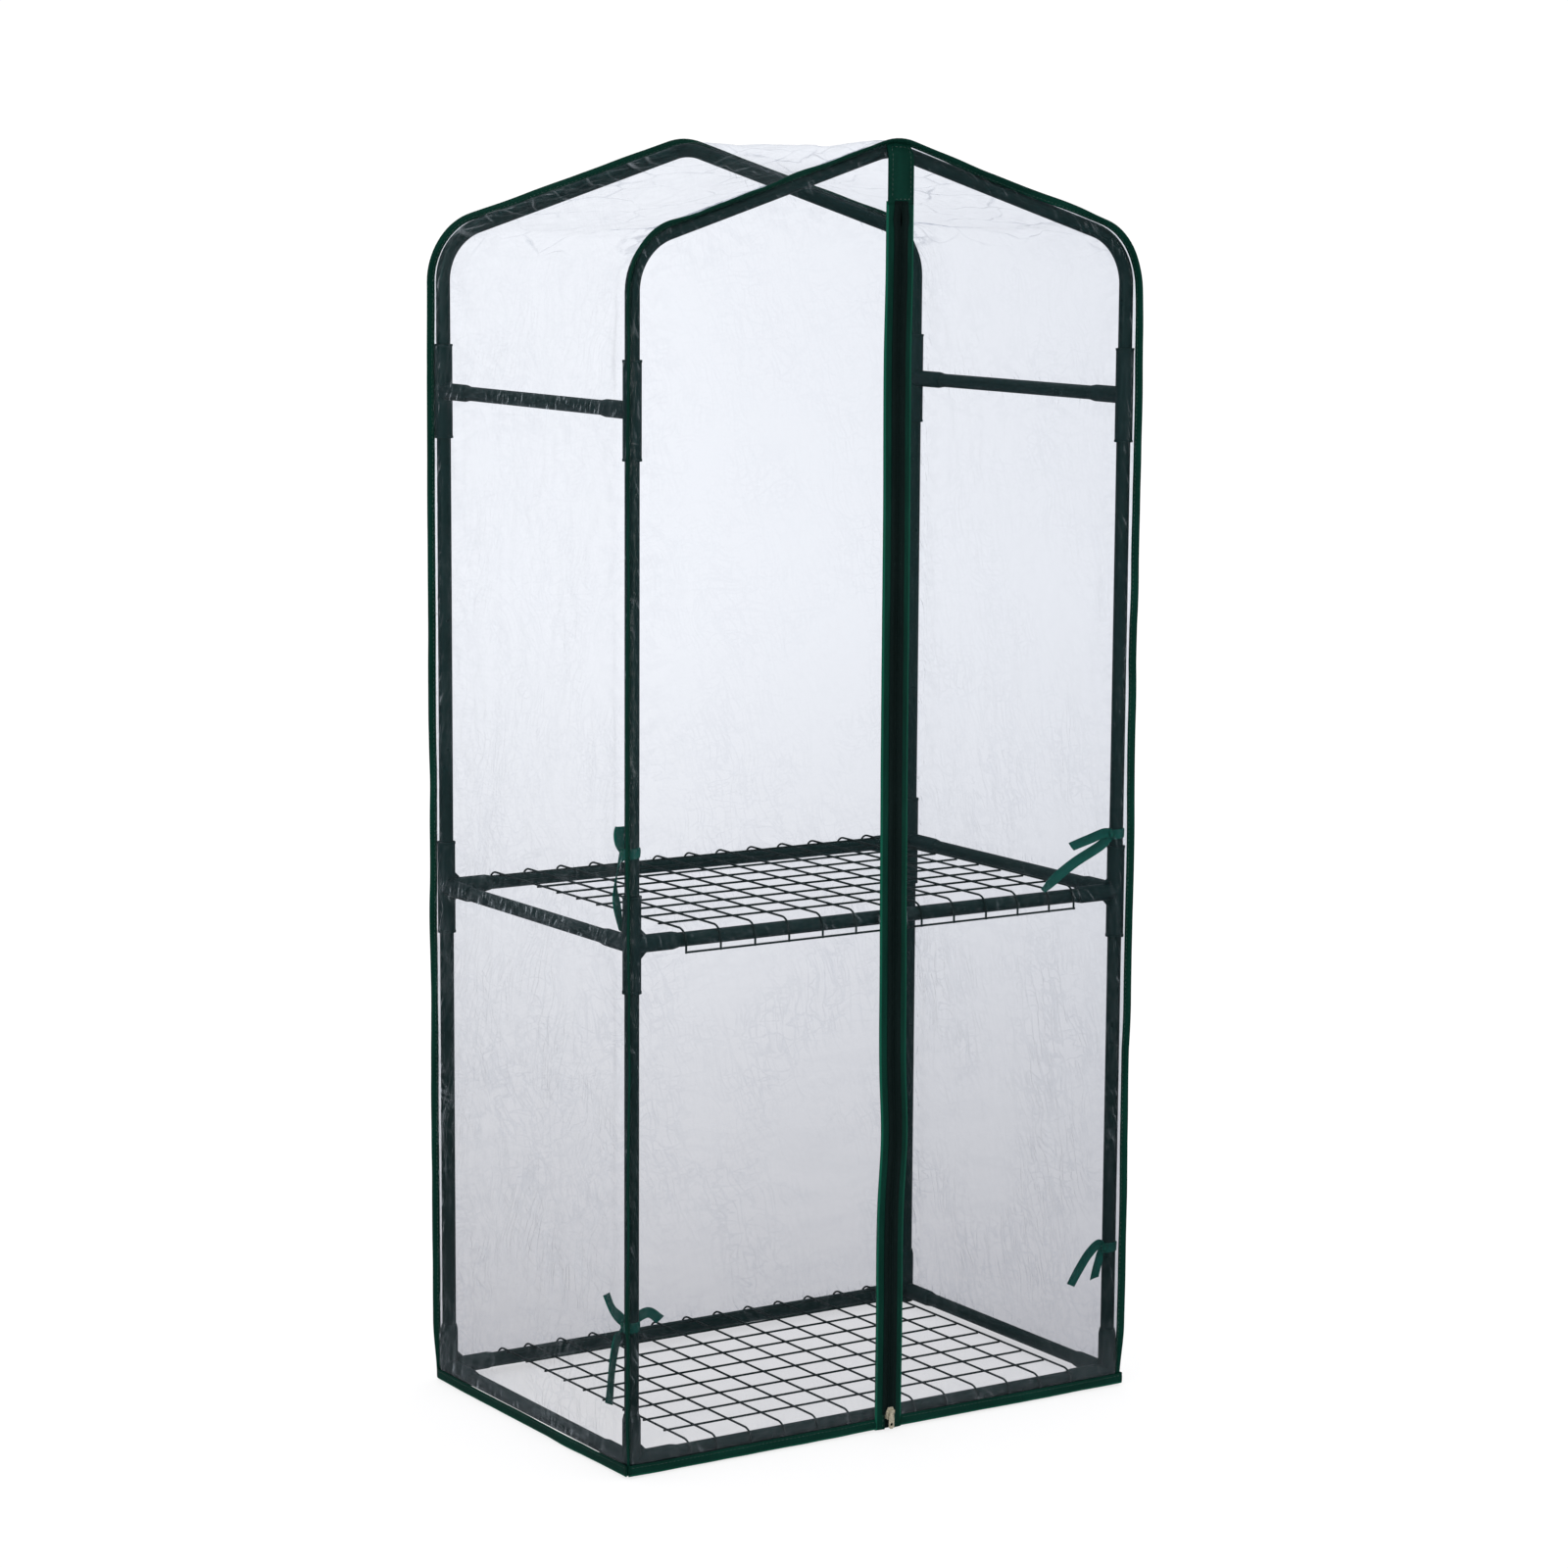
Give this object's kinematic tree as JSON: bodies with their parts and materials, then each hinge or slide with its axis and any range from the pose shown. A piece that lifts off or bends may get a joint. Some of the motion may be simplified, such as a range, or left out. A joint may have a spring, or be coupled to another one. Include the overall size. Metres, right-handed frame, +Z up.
{
  "type": "mini greenhouse",
  "caption": "Free-standing mini greenhouse: push-fit tube frame with gabled hoops and wire shelves under a clear film cover whose front unzips into swinging flaps.",
  "frame": {"origin": "middle of the footprint, on the floor that the corner connectors stand on", "axes": "+Z up, +X to the right along the wide front, -Y out of the zipped front"},
  "size_m": [0.6882, 0.46, 1.4474],
  "materials": {
    "steel_tube": "dark green-black coated steel tube, satin",
    "connector_plastic": "dark green-black moulded plastic, fine grain",
    "shelf_wire": "plastic-coated welded wire, satin",
    "clear_film": "clear soft vinyl film, glossy, creased",
    "binding_fabric": "woven dark green binding tape with stitching",
    "zip_tape": "black woven zip tape with nylon coil",
    "zip_metal": "nickel-plated cast metal, slightly worn",
    "tie_ribbon": "woven dark green ribbon, cut ends"
  },
  "bodies": {
    "frame": {"foot_connector_front_left": "connector_plastic", "foot_connector_front_right": "connector_plastic", "foot_connector_back_left": "connector_plastic", "foot_connector_back_right": "connector_plastic", "mid_connector_front_left": "connector_plastic", "mid_connector_front_right": "connector_plastic", "mid_connector_back_left": "connector_plastic", "mid_connector_back_right": "connector_plastic", "top_connector_front_left": "connector_plastic", "top_connector_front_right": "connector_plastic", "top_connector_back_left": "connector_plastic", "top_connector_back_right": "connector_plastic", "lower_post_front_left": "steel_tube", "lower_post_front_right": "steel_tube", "lower_post_back_left": "steel_tube", "lower_post_back_right": "steel_tube", "upper_post_front_left": "steel_tube", "upper_post_front_right": "steel_tube", "upper_post_back_left": "steel_tube", "upper_post_back_right": "steel_tube", "front_hoop": "steel_tube", "back_hoop": "steel_tube", "bottom_rail_front": "steel_tube", "bottom_rail_back": "steel_tube", "bottom_rail_left": "steel_tube", "bottom_rail_right": "steel_tube", "mid_rail_front": "steel_tube", "mid_rail_back": "steel_tube", "mid_rail_left": "steel_tube", "mid_rail_right": "steel_tube", "upper_rail_left": "steel_tube", "upper_rail_right": "steel_tube", "cover_wrap_film": "clear_film", "cover_back_film": "clear_film", "front_seam_binding": "binding_fabric", "back_seam_binding": "binding_fabric", "hem_binding": "binding_fabric", "zip_top_patch": "binding_fabric", "tie_mid_left": "tie_ribbon", "tie_mid_right": "tie_ribbon", "tie_low_left": "tie_ribbon", "tie_low_right": "tie_ribbon"},
    "upper_shelf": {"upper_shelf": "shelf_wire"},
    "lower_shelf": {"lower_shelf": "shelf_wire"},
    "left_flap": {"left_flap_film": "clear_film", "left_flap_hem": "binding_fabric", "left_zip_binding": "binding_fabric", "left_zip_tape": "zip_tape"},
    "right_flap": {"right_flap_film": "clear_film", "right_flap_hem": "binding_fabric", "right_zip_binding": "binding_fabric", "right_zip_tape": "zip_tape"},
    "zip_slider": {"zip_slider": "zip_metal"},
    "zip_pull": {"zip_pull": "zip_metal"}
  },
  "joints": [
    {"name": "zip_slider_travel", "type": "slide", "parent": "frame", "child": "zip_slider", "axis": [0, 0, 1], "range_m": [0, 1.34]},
    {"name": "zip_pull_swing", "type": "hinge", "parent": "zip_slider", "child": "zip_pull", "pos_m": [0.005, -0.2294, 0.0215], "axis": [-1, 0, 0], "range_deg": [0, 150]},
    {"name": "left_flap_swing", "type": "hinge", "parent": "frame", "child": "left_flap", "pos_m": [-0.3345, -0.2222, 0.7], "axis": [0, 0, -1], "range_deg": [0, 92.5]},
    {"name": "right_flap_swing", "type": "hinge", "parent": "frame", "child": "right_flap", "pos_m": [0.3345, -0.2222, 0.7], "axis": [0, 0, 1], "range_deg": [0, 92.5]},
    {"name": "upper_shelf_lift", "type": "slide", "parent": "frame", "child": "upper_shelf", "axis": [0, 0, 1], "range_m": [0, 0.1]},
    {"name": "lower_shelf_lift", "type": "slide", "parent": "frame", "child": "lower_shelf", "axis": [0, 0, 1], "range_m": [0, 0.1]}
  ],
  "couplings": [
    {"joint": "left_flap_swing", "follows": "zip_slider_travel", "rad_per_m": 1.1983},
    {"joint": "right_flap_swing", "follows": "zip_slider_travel", "rad_per_m": 1.1983}
  ]
}
